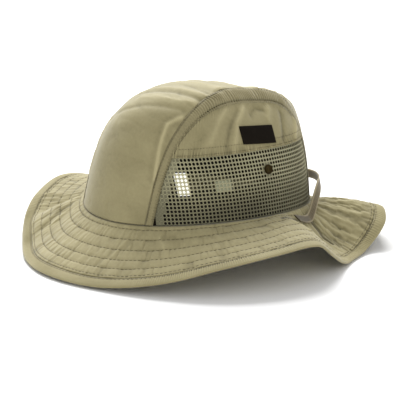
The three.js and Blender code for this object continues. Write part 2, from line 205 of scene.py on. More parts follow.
def column(rows, key, angle):
    """A smooth curve through one column of a table, level at its first and last rows."""
    knots = np.array(rows["angle"], float)
    values = np.array(rows[key], float)
    slopes = np.zeros(len(knots))
    slopes[1:-1] = (values[2:] - values[:-2]) / (knots[2:] - knots[:-2])
    at = np.clip(angle, knots[0], knots[-1])
    i = np.clip(np.searchsorted(knots, at, side="right") - 1, 0, len(knots) - 2)
    span = knots[i + 1] - knots[i]
    u = (at - knots[i]) / span
    ends = values[i] + (values[i + 1] - values[i]) * u * u * (3 - 2 * u)
    return ends + span * (slopes[i] * u * (1 - u) ** 2 - slopes[i + 1] * u * u * (1 - u))


def mix(a, b, share):
    return a + (b - a) * share


def smooth(value, low, high):
    share = np.clip((value - low) / (high - low), 0, 1)
    return share * share * (3 - 2 * share)


def bump(distance, spread):
    return np.exp(-((distance / spread) ** 2))


def unit(vectors):
    return vectors / np.maximum(np.linalg.norm(vectors, axis=-1, keepdims=True), 1e-12)


def points_of(x, y, z):
    return np.stack(np.broadcast_arrays(x, y, z), axis=-1).astype(float)


def noise(u, v, seed, round_u=None):
    """Smooth noise from -1 to 1 with a bump for each unit of u and v. It closes after round_u units."""
    values = np.random.default_rng(seed).uniform(-1, 1, (NOISE_CELLS, NOISE_CELLS))
    u, v = np.broadcast_arrays(u, v)
    iu, iv = np.floor(u).astype(int), np.floor(v).astype(int)
    fu, fv = u - iu, v - iv
    fu, fv = fu * fu * (3 - 2 * fu), fv * fv * (3 - 2 * fv)
    wrap = round_u or NOISE_CELLS
    a, b = iu % wrap % NOISE_CELLS, (iu + 1) % wrap % NOISE_CELLS
    c, d = iv % NOISE_CELLS, (iv + 1) % NOISE_CELLS
    low = mix(values[a, c], values[b, c], fu)
    return mix(low, mix(values[a, d], values[b, d], fu), fv)


def inside_crown(x, y, z, inset):
    up = np.maximum(z, 0) / (CROWN_HEIGHT - inset)
    across = x / (HALF_WIDTH - inset)
    along = (y - TOP_SHIFT * up) / (HALF_LENGTH - inset)
    angle = np.degrees(np.arctan2(np.abs(across), -along))
    power = column(CROWN_SECTIONS, "squareness", angle)
    lean = column(CROWN_SECTIONS, "lean", angle)
    radius = (1 - np.minimum(up, 1) ** power) ** (1 / power) * (1 - lean * up)
    return (up < 1) & (np.hypot(across, along) < radius)


def cast(start, direction, inset):
    """The point where a line from inside the crown leaves it."""
    start, direction = np.broadcast_arrays(start, direction)
    low = np.zeros(start.shape[:-1])
    high = np.full(start.shape[:-1], float(CROWN_LENGTH))
    for _ in range(HALVINGS):
        middle = (low + high) / 2
        at = start + direction * middle[..., None]
        inside = inside_crown(at[..., 0], at[..., 1], at[..., 2], inset)
        low, high = np.where(inside, middle, low), np.where(inside, high, middle)
    return start + direction * low[..., None]


def sweep_point(x, sweep, inset):
    """In the upright plane at x: sweep 0 is the front, 90 straight up and 180 the back."""
    turn = np.radians(sweep)
    direction = points_of(0 * x, -np.cos(turn), np.sin(turn))
    return cast(points_of(x, TOP_SHIFT / 2 + 0 * turn, 0), direction, inset)


def ring_point(angle, z, inset):
    """Round the crown at one height."""
    turn = np.radians(angle)
    direction = points_of(np.sin(turn), -np.cos(turn), 0 * z)
    return cast(points_of(0 * turn, TOP_SHIFT / 2, z), direction, inset)


def side_point(y, z, inset):
    return cast(points_of(0, y, z), np.array([1.0, 0, 0]), inset)


def seam_wave(angle):
    turn = np.radians(angle)
    return SEAM_TILT * np.cos(turn) - SEAM_SAG * np.cos(2 * turn)


def angle_of(point):
    return np.degrees(np.arctan2(np.abs(point[..., 0]) / HALF_WIDTH, -point[..., 1] / HALF_LENGTH))


def settle(point, side=1):
    """Lifts a point from the brim seam's level to its place: the seam's wave, the top's slant, the lift at
    the bands and the sag between them. The right side, -1, is worked out as a left one and mirrored."""
    x, y = point[..., 0], point[..., 1]
    up = np.clip(point[..., 2] / CROWN_HEIGHT, 0, 1)
    over_top = smooth(up, TOP_BEGINS, TOP_FULL)
    ridge = RIDGE_RISE * bump(np.abs(x) - (HALF_CENTRE - BAND_TOP / 2), RIDGE_REACH) * over_top
    sag = STRIP_SAG * bump(x, SAG_REACH) * smooth(y, SAG_START, SAG_START + SAG_RUN) * over_top
    slant = CROWN_SLANT * side * smooth(up, SLANT_BEGINS, 1) * x / HALF_CENTRE
    lift = ridge - sag + slant + SEAM_HEIGHT + seam_wave(angle_of(point)) * (1 - up)
    return point + points_of(0, 0, lift)


def on_side(points, side):
    """Points or normals of the left side, mirrored to the right where side is -1."""
    return points * np.array([side, 1.0, 1.0])


def sided(name, side):
    return name + ("_left" if side > 0 else "_right")


def facing(place, u, v, step_u, step_v, within):
    """Points of a surface and its normals there, facing away from a point within."""
    point = place(u, v)
    along = place(u + step_u, v) - place(u - step_u, v)
    across = place(u, v + step_v) - place(u, v - step_v)
    normal = unit(np.cross(along, across))
    away = np.sum(normal * (point - within), axis=-1, keepdims=True)
    return point, np.where(away < 0, -normal, normal)


# Placing in the frame: the sweatband's box gives the crown's middle
band_low, band_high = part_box("sweatband")
BAND_FRONT = HALF_LENGTH - CLOTH_WALL - SEWN_GAP
MIDDLE = np.array([(band_low.x + band_high.x) / 2, band_low.y + BAND_FRONT * MM, 0.0])


def wall_faces(rows, columns, ring):
    """The quads of a closed wall between two grids of points."""
    i = np.arange(rows if ring else rows - 1)
    j = np.arange(columns - 1)
    a = (i[:, None] * columns + j[None, :]).ravel()
    b = (((i + 1) % rows)[:, None] * columns + j[None, :]).ravel()
    outer = np.stack([a, b, b + 1, a + 1], axis=-1)
    base = rows * columns
    found = [outer, outer[:, ::-1] + base]
    for edge, turned in ((0, True), (columns - 1, False)):
        near, far = i * columns + edge, (i + 1) % rows * columns + edge
        strip = np.stack([near, far, far + base, near + base], axis=-1)
        found.append(strip[:, ::-1] if turned else strip)
    if not ring:
        for edge, turned in ((0, False), (rows - 1, True)):
            near = edge * columns + j
            strip = np.stack([near, near + 1, near + 1 + base, near + base], axis=-1)
            found.append(strip[:, ::-1] if turned else strip)
    return np.concatenate(found)


def ring_quads(ring, other, size):
    """The quads between two rings of a tube, of size points each."""
    k = np.arange(size)
    after = (k + 1) % size
    return np.stack([ring * size + k, ring * size + after, other * size + after, other * size + k], axis=-1)


def faces_out(points, faces):
    """The faces, turned over if they enclose a negative volume."""
    corners = points[faces]
    total = 0.0
    for k in range(1, faces.shape[1] - 1):
        total += np.sum(corners[:, 0] * np.cross(corners[:, k], corners[:, k + 1]))
    return faces[:, ::-1] if total < 0 else faces


def add_piece(name, points, faces, material, shade=None, lined=None):
    """A mesh in the frame, from points in millimetres. shade darkens (below 0) or lightens its cloth,
    mostly as painted shade and painted light, and lined is a first face, how many follow it and the cloth
    that they are made of."""
    points = points.reshape(-1, 3)
    faces = faces_out(points, faces)
    mesh = bpy.data.meshes.new(name)
    mesh.vertices.add(len(points))
    mesh.vertices.foreach_set("co", (points * MM + MIDDLE).astype(np.float32).ravel())
    mesh.loops.add(faces.size)
    mesh.loops.foreach_set("vertex_index", faces.astype(np.int32).ravel())
    mesh.polygons.add(len(faces))
    mesh.polygons.foreach_set("loop_start", np.arange(0, faces.size, faces.shape[1], dtype=np.int32))
    mesh.update(calc_edges=True)
    mesh.validate()
    if shade is not None:
        made = mesh.attributes.new("shade", "FLOAT", "POINT")
        made.data.foreach_set("value", shade.astype(np.float32).ravel())
    mesh.shade_smooth()
    mesh.materials.append(material)
    if lined is not None:
        first, count, lining = lined
        mesh.materials.append(lining)
        which = np.zeros(len(faces), dtype=np.int32)
        which[first:first + count] = 1
        mesh.polygons.foreach_set("material_index", which)
    piece = bpy.data.objects.new(name, mesh)
    bpy.context.scene.collection.objects.link(piece)
    return piece


def add_wall(name, outer, inner, material, ring=False, shade=None, lining=None):
    rows, columns = outer.shape[:2]
    cells = (rows if ring else rows - 1) * (columns - 1)
    lined = None if lining is None else (cells, cells, lining)
    points = np.concatenate([outer.reshape(-1, 3), inner.reshape(-1, 3)])
    both = None
    if shade is not None:
        both = np.concatenate([shade.ravel(), shade.ravel()])
    return add_piece(name, points, wall_faces(rows, columns, ring), material, both, lined)


# Crown pieces

CROWN_CORE = np.array([0.0, TOP_SHIFT / 2, SEAM_HEIGHT + CROWN_HEIGHT * 0.4])
LOW_SWEEP = math.degrees(SEWN_GAP / HALF_LENGTH)


def band_width(sweep):
    return mix(BAND_LOW, BAND_TOP, np.sin(np.radians(np.clip(sweep, 0, 180))) ** BAND_SPREAD)


def near_line(u, v, line):
    """Distance to a line of straight stretches."""
    best = np.full(np.broadcast(u, v).shape, 1e9)
    for (u0, v0), (u1, v1) in zip(line[:-1], line[1:]):
        du, dv = u1 - u0, v1 - v0
        share = np.clip(((u - u0) * du + (v - v0) * dv) / (du * du + dv * dv), 0, 1)
        best = np.minimum(best, np.hypot(u - u0 - share * du, v - v0 - share * dv))
    return best


def fold(rise, reach, *line, shade=0.0):
    """A fold along a line: how far its middle stands out, how wide it is, and the painted light it adds,
    painted shade where below 0.
    """
    return {"line": line, "rise": rise, "reach": reach, "shade": shade}


def folds_at(folds, angle, v, scale, power, key="rise"):
    """The relief or the painted shade and light that folds give, where their lines are of points (angle,
    v).
    """
    total = 0.0
    for one in folds:
        line = [(scale * a, b) for a, b in one["line"]]
        away = near_line(scale * angle, v, line)
        total = total + one[key] * np.exp(-((away / one["reach"]) ** power))
    return total


# Folds of the centre strip, along lines of (sweep in degrees, x in millimetres)
CREST = ((22, 42.6), (30, 40.7), (38, 38.2), (47, 35.6), (53, 40))
STRIP_FOLDS = [
    fold(1.0, 1.4, (14, 43.5), *CREST),
    fold(1.1, 3, (16, -43), (30, -40), (44, -37), (52, -41)),
    fold(-0.8, 2.6, (56, 38), (52, 14), (46, -20), (44, -33)),
    fold(1.0, 3, (62, 40), (58, 20), (55, -8)),
    fold(-1.1, 2.4, (66, 40), (64, 16), (59, -24)),
    fold(0.9, 2.6, (70, 38), (67, 10), (62, -28)),
    fold(-0.6, 3, (76, 38), (72, 6), (68, -30)),
    fold(0.9, 4, (80, 38), (79, 8), (74, -30)),
    fold(0.8, 5, (92, 36), (95, 10), (90, -28)),
    fold(0.9, 5, (104, 36), (108, 5), (112, -34)),
    fold(-0.6, 7, (40, 12), (33, -12)),
    fold(-0.5, 6, (28, 30), (24, 14)),
]
SWEEP_SCALE = 1.6  # millimetres of cloth for a degree of sweep


def strip_relief(x, sweep):
    relief = 0.3 * noise(x / 23 + 40, sweep / 12 + 9, 3)
    relief = relief - 0.22 * bump(noise(x / 26 + 0.05 * sweep, sweep / 5 + 20, 4), 0.16)
    relief = relief + folds_at(STRIP_FOLDS, sweep, x, SWEEP_SCALE, 1.5)
    edge = HALF_CENTRE - band_width(sweep) - np.abs(x)
    gathers = noise(SWEEP_SCALE * sweep / 2.2 + 8, x / 30 + 50, 5) * np.exp(-np.maximum(edge, 0) / 6)
    long = noise(SWEEP_SCALE * sweep / 4.6 + 3, x / 45 + 20, 6) * np.exp(-np.maximum(edge, 0) / 20)
    over_top = smooth(np.sin(np.radians(sweep)), 0.5, 0.95)
    crisp = bump(noise(x / 34 + 0.03 * sweep, SWEEP_SCALE * sweep / 5.5 + 20, 7), 0.13)
    drawn = (0.3 + 0.5 * over_top) * gathers + 0.75 * over_top * long
    return relief + drawn * smooth(edge, 0.3, 3.5) - 0.4 * over_top * crisp


def crown_surface(inset, side=1):
    return lambda x, sweep: settle(sweep_point(x, np.clip(sweep, 0.02, 179.98), inset), side)


def grid(rows, columns):
    """Shares from 0 to 1 along both ways of a grid."""
    return np.linspace(0, 1, rows)[:, None], np.linspace(0, 1, columns)[None, :]


def sweeps_at(share):
    return mix(LOW_SWEEP, 180 - LOW_SWEEP, share)


def crown_panel(material, lining):
    s, q = grid(*PANEL_GRID)
    sweep = sweeps_at(s) + 0 * q
    half = HALF_CENTRE - band_width(sweep) - SEWN_GAP
    x = mix(-half, half, q)
    point, normal = facing(crown_surface(0), x, sweep, 0.5, 0.5, CROWN_CORE)
    relief = strip_relief(x, sweep)
    outer = point + normal * relief[..., None]
    inner = outer - normal * CLOTH_WALL
    # The first fold is a sharp crest. Painted light runs along it, painted shade beside it and towards the
    # top, and the relief's ridges and hollows are painted lighter and darker
    crest = near_line(SWEEP_SCALE * sweep, x, [(SWEEP_SCALE * a, b) for a, b in CREST])
    painted_shading = 0.5 * bump(crest, 0.9) - 0.14 * bump(crest - 3, 2) - 0.08 * smooth(sweep, 55, 75)
    return add_wall("crown_panel_cloth", outer, inner, material, shade=0.2 * relief + painted_shading, lining=lining)


def seam_band(side, material, lining):
    s, q = grid(*BAND_GRID)
    sweep = sweeps_at(s) + 0 * q
    width = band_width(sweep)
    x = HALF_CENTRE - width + q * (width + BAND_LAP)
    point, normal = facing(crown_surface(-BAND_PROUD, side), x, sweep, 0.5, 0.5, CROWN_CORE)
    over_top = smooth(np.sin(np.radians(sweep)), 0.8, 0.98)
    along = SWEEP_SCALE * sweep
    drift = noise(along / 9, q * 2 + side, 11)
    ruffle = np.sin(2 * np.pi * (along / RUFFLE_PITCH + 0.7 * drift + 0.5 * q))
    ruffle *= 0.55 + 0.45 * noise(along / 5, q + 3 * side, 12)
    rolled = -0.5 * (np.abs(2 * q - 1) ** 6)
    stitched = sum(bump(width * (q - share), 0.45) for share in BAND_ROWS)
    strength = (0.1 + 0.6 * over_top) * (1 - np.abs(2 * q - 1) ** 6)
    relief = rolled - 0.4 * stitched + strength * ruffle
    outer = point + normal * relief[..., None]
    # The lap over the side panel is thinner than the rest
    depth = mix(CLOTH_WALL, BAND_PROUD - 0.1, smooth(x, HALF_CENTRE - 2, HALF_CENTRE - 1))
    inner = point - normal * depth[..., None]
    outer, inner = on_side(outer, side), on_side(inner, side)
    name = sided("seam_band_cloth", side)
    # Painted light and shade: the ruffles' crests lighter and their hollows darker, with painted shade in
    # the stitched grooves and at the rolled edges
    shade = 0.45 * strength * ruffle - 0.3 * stitched - 0.25 * np.abs(2 * q - 1) ** 8
    return add_wall(name, outer, inner, material, shade=shade, lining=lining)


def edge_back(z, inset, sign):
    """Where the edge of a net or side panel stands at one height: sign -1 is in front, 1 at the back.
    It is tucked under the band."""
    start = points_of(HALF_CENTRE - BAND_TUCK, TOP_SHIFT / 2, z)
    point = cast(start, np.array([0.0, sign, 0]), inset)
    return np.degrees(np.arctan2(point[..., 0], TOP_SHIFT / 2 - point[..., 1]))


def edge_height(angle, inset):
    """Height of the side panel's edge at one angle round the crown."""
    turn = np.radians(angle)
    reach = HALF_CENTRE - BAND_TUCK
    start = points_of(reach, TOP_SHIFT / 2 - reach / np.tan(turn), 0)
    return cast(start, np.array([0.0, 0, 1.0]), inset)[..., 2]


# Folds of the side panels, along lines of (angle in degrees, height in millimetres)
SIDE_FOLDS = [
    fold(1.7, 2.4, (140, 72), (133, 62), (126, 55), (124, 50)),
    fold(1.1, 2.6, (52, 62), (58, 74), (66, 83)),
    fold(-1.1, 3, (62, 58), (66, 70), (76, 80)),
    fold(1.4, 2.4, (68, 60), (72, 72), (86, 84)),
    fold(-1.0, 2.4, (88, 76), (96, 80), (104, 78)),
    fold(-1.1, 3, (112, 56), (118, 68), (122, 74)),
    fold(1.1, 3, (104, 72), (112, 80)),
    fold(-0.6, 4, (44, 58), (47, 66)),
]
ANGLE_SCALE = 1.5  # millimetres of cloth for a degree round the crown


def side_relief(angle, z, edge):
    relief = 0.25 * noise(angle / 15 + 30, z / 14 + 20, 21)
    relief = relief + folds_at(SIDE_FOLDS, angle, z, ANGLE_SCALE, 1.6)
    above = z - NET_HEIGHT
    along = ANGLE_SCALE * angle
    pucker = np.sin(2 * np.pi * (along / 2.1 + 0.7 * noise(along / 7, above / 9 + 4, 23)))
    hem = 0.8 * pucker * np.exp(-np.maximum(above - 1, 0) / 4)
    rows = -0.3 * sum(bump(above - row, 0.5) for row in NET_TOP_ROWS)
    near_band = 0.5 * pucker * np.exp(-np.maximum(edge - z - 0.8, 0) / 3.5)
    fade = smooth(edge - z, 0, 6)
    return relief * fade + hem + rows + near_band


def side_surface(inset, side=1):
    return lambda angle, z: settle(ring_point(angle, z, inset), side)


def side_panel(side, material, lining):
    s, q = grid(*SIDE_GRID)
    corner = np.array(NET_HEIGHT + 0.8)
    angle = mix(edge_back(corner, CLOTH_WALL, -1), edge_back(corner, CLOTH_WALL, 1), s)
    top = edge_height(angle, 0)
    z = mix(NET_HEIGHT + SEWN_GAP / 2, top, 1 - (1 - q) ** 1.3)
    angle, top = angle + 0 * q, top + 0 * q
    point, normal = facing(side_surface(0, side), angle, z, 0.4, 0.5, CROWN_CORE)
    relief = side_relief(angle, z, top)
    outer = point + normal * relief[..., None]
    inner = outer - normal * CLOTH_WALL
    outer, inner = on_side(outer, side), on_side(inner, side)
    name = sided("side_panel_cloth", side)
    # Painted light and shade: the relief's ridges lighter and hollows darker, and light and dark gather
    # marks painted just above the net
    gathers = np.exp(-np.maximum(z - NET_HEIGHT - 1, 0) / 4) * noise(ANGLE_SCALE * angle / 1.1, z / 9, 24)
    shade = 0.26 * relief + 0.28 * gathers
    return add_wall(name, outer, inner, material, shade=shade, lining=lining)


# Net: a knitted sheet with straight columns of round gaps

NET_PITCH = 3.05
GAP_RADIUS = 0.365  # as a share of the pitch
THREAD_THICK = 0.4
NET_EDGE = 6.5
SNAP_SEAT = 5.5
NET_CORNERS = 12
NET_INSET = 0.6  # of the threads' middle from the crown's surface
NET_REACH = 34  # most columns to either side of the middle
NET_LEVELS = 23  # heights and half the angles at which the net's width is measured
NET_HALF_STEPS = 150


def net_cell():
    """Points of one cell in shares of the pitch and of the thread's thickness, and the quads of an open
    cell and of a filled one."""
    turn = 2 * np.pi * (np.arange(NET_CORNERS) + 0.5) / NET_CORNERS
    ray = np.stack([np.cos(turn), np.sin(turn)], axis=-1)
    square = ray / np.max(np.abs(ray), axis=1, keepdims=True) * 0.5
    hole = ray * GAP_RADIUS
    middle = mix(hole, square, 0.5)
    at_corner = smooth(np.hypot(square[:, 0], square[:, 1]), 0.5, 0.7)
    rings = [
        (square, 0.42 - 0.3 * at_corner),
        (middle, np.full(NET_CORNERS, 0.5)),
        (hole, np.full(NET_CORNERS, 0.05)),
        (hole, np.full(NET_CORNERS, -0.05)),
        (middle, np.full(NET_CORNERS, -0.5)),
        (square, -0.42 + 0.3 * at_corner),
    ]
    points = np.concatenate([np.column_stack([p + 0.5, h]) for p, h in rings])
    fan = np.array([(0, n, n + 1, n + 2) for n in range(1, NET_CORNERS - 1, 2)])
    shared = [ring_quads(a, b, NET_CORNERS) for a, b in ((0, 1), (1, 2), (4, 5), (5, 0))]
    gap = np.concatenate([*shared, ring_quads(2, 4, NET_CORNERS)])
    front, behind = fan + 2 * NET_CORNERS, fan[:, ::-1] + 3 * NET_CORNERS
    closed = np.concatenate([*shared, ring_quads(3, 4, NET_CORNERS), front, behind])
    return points, gap, closed


def net_angles(arc, z):
    """Angles at which the net's columns stand: arc is measured round the crown from the side's middle."""
    heights = np.linspace(0, NET_HEIGHT, NET_LEVELS)
    angles = np.linspace(15, 165, 2 * NET_HALF_STEPS + 1)
    ring = ring_point(angles[None, :] + 0 * heights[:, None], heights[:, None] + 0 * angles, NET_INSET)
    steps = np.linalg.norm(np.diff(ring, axis=1), axis=-1)
    walked = np.concatenate([np.zeros((len(heights), 1)), np.cumsum(steps, axis=1)], axis=1)
    walked -= walked[:, [NET_HALF_STEPS]]
    columns = np.arange(-120.0, 121.0, 1.0)
    found = np.stack([np.interp(columns, row, angles) for row in walked])
    row = np.clip(z / NET_HEIGHT * (len(heights) - 1), 0, len(heights) - 1.001)
    col = np.clip(arc - columns[0], 0, len(columns) - 1.001)
    i, j = np.floor(row).astype(int), np.floor(col).astype(int)
    fi, fj = row - i, col - j
    low = mix(found[i, j], found[i, j + 1], fj)
    return mix(low, mix(found[i + 1, j], found[i + 1, j + 1], fj), fi)


def net_window(side, material):
    low, high = SEWN_GAP, NET_HEIGHT - SEWN_GAP / 2
    rows = round((high - low) / NET_PITCH)
    pitch = (high - low) / rows
    i, j = np.meshgrid(np.arange(-NET_REACH, NET_REACH), np.arange(rows), indexing="ij")
    i, j = i.ravel(), j.ravel()
    corners = np.stack([i * pitch, (i + 1) * pitch])
    z = low + (j + 0.5) * pitch
    ends = np.stack([edge_back(z, NET_INSET, -1), edge_back(z, NET_INSET, 1)])
    first, last = net_angles(corners[0], z), net_angles(corners[1], z)
    kept = (last > ends[0] - 0.2) & (first < ends[1] + 0.2)
    i, j, ends = i[kept], j[kept], ends[:, kept]
    cell, gap, closed = net_cell()
    arc = (i[:, None] + cell[None, :, 0]) * pitch
    z = low + (j[:, None] + cell[None, :, 1]) * pitch
    angle = np.clip(net_angles(arc, z), ends[0][:, None], ends[1][:, None])
    point, normal = facing(side_surface(NET_INSET, side), angle, z, 0.3, 0.3, CROWN_CORE)
    point = point + normal * (cell[None, :, 2:] * THREAD_THICK)
    point = on_side(point, side)
    base = np.arange(len(i))[:, None, None] * len(cell)
    # The seam allowances fill the gaps along the edges, and the snap's seat those round it
    from_front = ANGLE_SCALE * (angle.mean(axis=1) - ends[0])
    from_back = ANGLE_SCALE * (ends[1] - angle.mean(axis=1))
    middle = point.mean(axis=1)
    to_snap = np.hypot(middle[:, 1] - SNAP["along"], z.mean(axis=1) - SNAP["up"])
    filled = (from_front < NET_EDGE) | (from_back < NET_EDGE) | (to_snap < SNAP_SEAT)
    faces = np.concatenate([
        (gap[None] + base[~filled]).reshape(-1, 4),
        (closed[None] + base[filled]).reshape(-1, 4),
    ])
    # Painted shade on the gaps' walls, and the threads darker towards the bottom; the filled gaps are a
    # little darker
    shade = -0.4 * (np.abs(cell[None, :, 2]) < 0.3) - 0.33 * (1 - smooth(z, 4, 34))
    shade = shade - 0.08 * filled[:, None]
    # Threads in front of the tags get painted light, as if lit by the bright tags behind them
    if side > 0:
        for tag, light in ((CARE_TAG, 1.0), (SIZE_TAG, 0.3)):
            within = (np.abs(point[..., 1] - tag["along"]) < tag["length"] / 2 + 0.3)
            within &= np.abs(z - tag["up"]) < tag["height"] / 2
            shade = shade + light * within
    return add_piece(sided("net_mesh", side), point, faces, material, shade)


# Brim

BRIM_CORE = np.array([0.0, 0.0, -900.0])
BRIM_AROUND = 720  # round the brim and round its hem, in the units of their noise
HEM_AROUND = 2340
BRIM_SCALE = 1.9  # millimetres of cloth for a degree round the brim, near the seam


def signed(turn):
    """An angle round the hat from -180 to 180, negative on the right side."""
    return (turn + 180) % 360 - 180


def folded(turn):
    """The same without its sign, for what both sides share."""
    return np.abs(signed(turn))


def brim_fall(turn):
    return BRIM_DROP * column(BRIM_SECTIONS, "drop", signed(turn))


def brim_reach(turn):
    chord = BRIM_WIDTH * column(BRIM_SECTIONS, "chord", signed(turn))
    return np.sqrt(chord**2 - brim_fall(turn) ** 2)


def seam_normal(turn):
    angle = np.radians(turn)
    return unit(np.stack([np.sin(angle) / HALF_WIDTH, -np.cos(angle) / HALF_LENGTH], axis=-1))


def brim_point(turn, distance):
    """Top of the brim, at a distance from the seam along the cloth, before it is flattened."""
    turn, distance = np.broadcast_arrays(turn, distance)
    angle = np.radians(turn)
    share = np.maximum(distance, 0) / BRIM_WIDTH
    out = np.where(distance > 0, brim_reach(turn) * share, distance)
    normal = seam_normal(turn)
    hollow = BRIM_HOLLOW * column(BRIM_SECTIONS, "hollow", signed(turn))
    fall = brim_fall(turn) * share + hollow * 4 * share * (1 - share)
    x = HALF_WIDTH * np.sin(angle) + normal[..., 0] * out
    y = -HALF_LENGTH * np.cos(angle) + normal[..., 1] * out
    return points_of(x, y, SEAM_HEIGHT + seam_wave(turn) - fall)


def pressed(z):
    """The surface below pushes the cloth up, with a soft bend where it starts to lie."""
    soft = np.maximum(z + PRESS_BEND, 0) ** 2 / (4 * PRESS_BEND)
    return np.where(z > PRESS_BEND, z, soft)


def brim_top(turn, distance):
    """Top of the brim as it lies, with the surface below pushing up the lowest sections."""
    point = brim_point(turn, distance)
    wall = mix(BRIM_WALL, HEM_WALL, smooth(distance, PANEL_WIDTH - 2, PANEL_WIDTH))
    point[..., 2] = pressed(point[..., 2] - wall) + wall
    return point


def on_brim(turn, distance):
    return facing(brim_top, turn, distance, 0.4, 0.4, BRIM_CORE)


def pucker_strength(turn):
    """How far the brim's cloth is gathered round the hat, from 0 to 1: most in the tail."""
    return column(BRIM_PUCKERS, "strength", signed(turn))


def brim_valleys(turn, distance):
    """The quilting's narrow valleys, from 0 to 1: short ones across the rows, and long ones in the fan."""
    along = turn / 360 * BRIM_AROUND
    rows = np.array((0, *BRIM_ROWS, PANEL_WIDTH), float)
    k = np.clip(np.searchsorted(rows, distance, side="right") - 1, 0, len(rows) - 2)
    share = np.clip((distance - rows[k]) / (rows[k + 1] - rows[k]), 0, 1)
    strength = pucker_strength(turn)
    cross = noise(along / 4.5, 6.1 * k + 0.5 * share + 0.3, 33, BRIM_AROUND * 2 // 9)
    here = smooth(noise(along / 8, 3.7 * k + 5, 35, BRIM_AROUND // 8), -0.5, 0.4)
    long = noise(along / 3.6 + 0.4 * share, distance / 34 + 60, 31, BRIM_AROUND // 4 * 10 // 9)
    fan = smooth(strength, 0.45, 0.95)
    valleys = bump(cross, 0.15) * here * (1 - fan) + fan * bump(long, 0.2)
    return share, valleys * smooth(distance, 0, 3), strength


# Single folds of the brim, along lines of (angle in degrees, millimetres from the seam)
# Their shade is painted: the slit and the deep gap painted near black, the valleys darker and the ridges
# lighter
BRIM_MARKS = [
    fold(-1.3, 0.9, (96, 11), (107, 11.5), shade=-0.9),
    fold(-1.5, 2.2, (122.5, 8), (121, 16), (119.5, 27), shade=-0.3),
    fold(-1.8, 1.3, (119, 30), (120, 37), shade=-0.9),
    fold(1.1, 2.6, (98, 20), (101, 34), (103, 48), shade=0.15),
    fold(-0.9, 2, (-36, 30), (-37, 13), shade=-0.15),
    fold(0.8, 2.4, (-30, 44), (-32, 22), shade=0.1),
    fold(0.6, 1, (39, 12), (42, 26), shade=0.15),
    fold(-0.5, 1.2, (8, 8), (14, 30), shade=-0.1),
    fold(0.5, 1.2, (24, 16), (21, 34), shade=0.1),
]


def brim_marks(turn, distance, key):
    return folds_at(BRIM_MARKS, signed(turn), distance, BRIM_SCALE, 1.6, key)


def brim_stitching(turn, distance):
    """How close a point is to a stitched row, from 0 to 1: the tail's gathers hide the rows."""
    near = sum(bump(distance - row, 0.55) for row in (*BRIM_ROWS, HEM_ROWS[0]))
    return near * (1 - smooth(pucker_strength(turn), 0.6, 0.9))


def brim_relief(turn, distance):
    along = turn / 360 * BRIM_AROUND
    share, valleys, strength = brim_valleys(turn, distance)
    stitch = brim_stitching(turn, distance)
    puff = 0.36 * (1 - np.abs(2 * share - 1) ** 2.5) * (1.15 - strength)
    broad = noise(along / 6, distance / 22 + 10, 36, BRIM_AROUND // 6)
    fine = noise(along / 2, distance / 7 + 30, 32, BRIM_AROUND // 2)
    groove = -0.32 * stitch - 0.5 * bump(distance - PANEL_WIDTH, 0.7) - 0.5 * bump(distance, 1.2)
    fade = smooth(distance, -0.5, 3)
    rough = 0.7 * strength * broad + (0.22 + 0.36 * strength) * fine
    single = brim_marks(turn, distance, "rise")
    return puff + groove + single + fade * rough - (0.3 + 0.6 * strength) * valleys


def brim_panel(material):
    rows = np.array((0, *BRIM_ROWS, HEM_ROWS[0], PANEL_WIDTH))
    between = [mix(a, b, np.array((0.0, 0.14, 0.34, 0.66, 0.86))) for a, b in zip(rows[:-1], rows[1:])]
    lines = np.concatenate([[-CLOTH_WALL], *between, [PANEL_WIDTH - SEWN_GAP]])
    turn = np.arange(BRIM_STEPS)[:, None] * 360 / BRIM_STEPS + 0 * lines
    distance = 0 * turn + lines
    point, normal = on_brim(turn, distance)
    relief = brim_relief(turn, distance)
    outer = point + normal * relief[..., None]
    inner = point - normal * (BRIM_WALL + 0.5 * (relief - 0.3))[..., None]
    inner[..., 2] = np.maximum(inner[..., 2], 0.02)
    _, valleys, _ = brim_valleys(turn, distance)
    # Painted light and shade: the relief's ridges lighter, its valleys and stitched rows darker, painted
    # shade in the grooves at the crown's seam and at the hem, and the marks' painted shade and light
    shade = 0.16 * relief - 0.13 * valleys - 0.1 * brim_stitching(turn, distance)
    shade -= 0.4 * bump(distance - PANEL_WIDTH, 0.8) + 0.3 * bump(distance, 0.8)
    shade += brim_marks(turn, distance, "shade")
    return add_wall("brim_cloth", outer, inner, material, ring=True, shade=shade)


